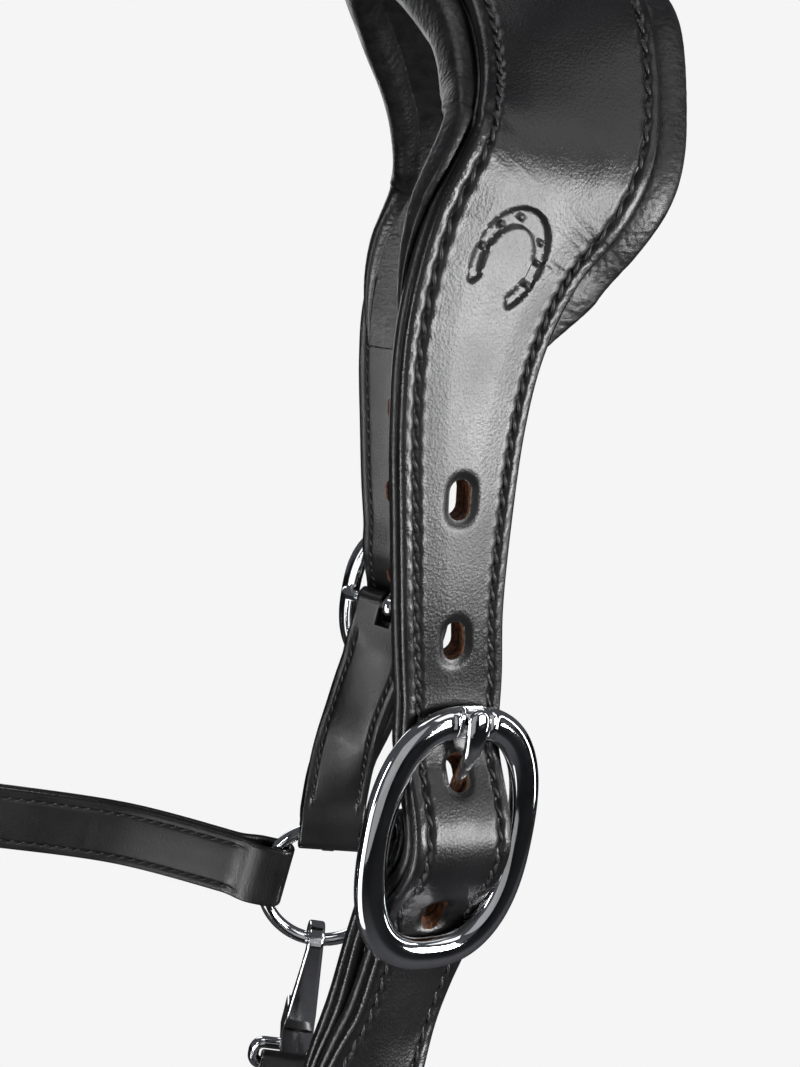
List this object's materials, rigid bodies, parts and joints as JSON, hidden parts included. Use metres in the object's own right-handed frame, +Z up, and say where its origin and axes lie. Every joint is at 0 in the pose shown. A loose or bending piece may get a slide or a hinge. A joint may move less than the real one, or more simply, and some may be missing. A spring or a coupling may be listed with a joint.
{
  "type": "leather headcollar",
  "caption": "Padded leather headcollar for a horse, with a flared crown, oval buckles, ring-joined straps, a snap at the throat and a dee for a lead rope.",
  "frame": {"origin": "on the horse's poll, under the middle of the padded crown, midway between the two sides", "axes": "+X to the horse's left, the nose towards -Y, +Z up"},
  "size_m": [0.2091, 0.3122, 0.497],
  "materials": {
    "leather": "smooth black bridle leather, waxed and polished, stitched in black",
    "lining": "black lining leather with polished edges",
    "pad": "soft grained black leather over a padded core",
    "chrome": "smooth bright chrome plate on cast fittings and wire",
    "steel": "plain spring steel"
  },
  "bodies": {
    "root": {"crown_strap": "leather", "crown_lining": "lining", "crown_pad": "pad", "crown_buckle_left": "chrome", "crown_buckle_right": "chrome", "cheek_piece_left": "leather", "cheek_piece_right": "leather"},
    "crown_tongue_left_body": {"crown_tongue_left": "chrome"},
    "crown_tongue_right_body": {"crown_tongue_right": "chrome"},
    "throat_ring_left_body": {"throat_ring_left": "chrome"},
    "throat_ring_right_body": {"throat_ring_right": "chrome"},
    "lower": {"cheek_strap_left": "leather", "cheek_strap_right": "leather", "noseband": "leather", "noseband_pad": "pad", "chin_chape": "leather", "chin_buckle": "chrome", "chin_strap": "leather", "throat_strap": "leather", "throat_snap": "chrome", "snap_pin": "steel", "snap_spring": "steel", "jowl_strap": "leather"},
    "nose_ring_left_body": {"nose_ring_left": "chrome"},
    "nose_ring_right_body": {"nose_ring_right": "chrome"},
    "chin_tongue_body": {"chin_tongue": "chrome"},
    "snap_gate_body": {"snap_gate": "chrome"},
    "lead_dee_body": {"lead_dee": "chrome"}
  },
  "joints": [
    {"name": "noseband_fold", "type": "hinge", "parent": "root", "child": "lower", "pos_m": [0, -0.0353, -0.3135], "axis": [1, 0, 0], "range_deg": [-3, 80]},
    {"name": "crown_tongue_left_lift", "type": "hinge", "parent": "root", "child": "crown_tongue_left_body", "pos_m": [0.08768, -0.00903, -0.198], "axis": [-0.3993, 0.8968, -0.1908], "range_deg": [0, 8]},
    {"name": "crown_tongue_right_lift", "type": "hinge", "parent": "root", "child": "crown_tongue_right_body", "pos_m": [-0.08768, -0.00903, -0.198], "axis": [-0.3993, -0.8968, 0.1908], "range_deg": [0, 8]},
    {"name": "throat_ring_left_spin", "type": "hinge", "parent": "root", "child": "throat_ring_left_body", "pos_m": [0.088, -0.0353, -0.3135], "axis": [1, 0, 0], "continuous": true},
    {"name": "throat_ring_right_spin", "type": "hinge", "parent": "root", "child": "throat_ring_right_body", "pos_m": [-0.088, -0.0353, -0.3135], "axis": [1, 0, 0], "continuous": true},
    {"name": "nose_ring_left_spin", "type": "hinge", "parent": "lower", "child": "nose_ring_left_body", "pos_m": [0.084, -0.20377, -0.26614], "axis": [1, 0, 0], "continuous": true},
    {"name": "nose_ring_right_spin", "type": "hinge", "parent": "lower", "child": "nose_ring_right_body", "pos_m": [-0.084, -0.20377, -0.26614], "axis": [1, 0, 0], "continuous": true},
    {"name": "chin_tongue_lift", "type": "hinge", "parent": "lower", "child": "chin_tongue_body", "pos_m": [0.0939, -0.22001, -0.3239], "axis": [0, -0.9627, 0.2706], "range_deg": [0, 8]},
    {"name": "snap_gate_open", "type": "hinge", "parent": "lower", "child": "snap_gate_body", "pos_m": [-0.0902, -0.04694, -0.37338], "axis": [0, 0.9816, -0.1908], "range_deg": [0, 9], "stiffness_Nm_per_rad": 0.05, "springref_deg": -5.73},
    {"name": "lead_dee_swing", "type": "hinge", "parent": "lower", "child": "lead_dee_body", "pos_m": [0, -0.25975, -0.3951], "axis": [1, 0, 0], "range_deg": [-110, 15]}
  ]
}
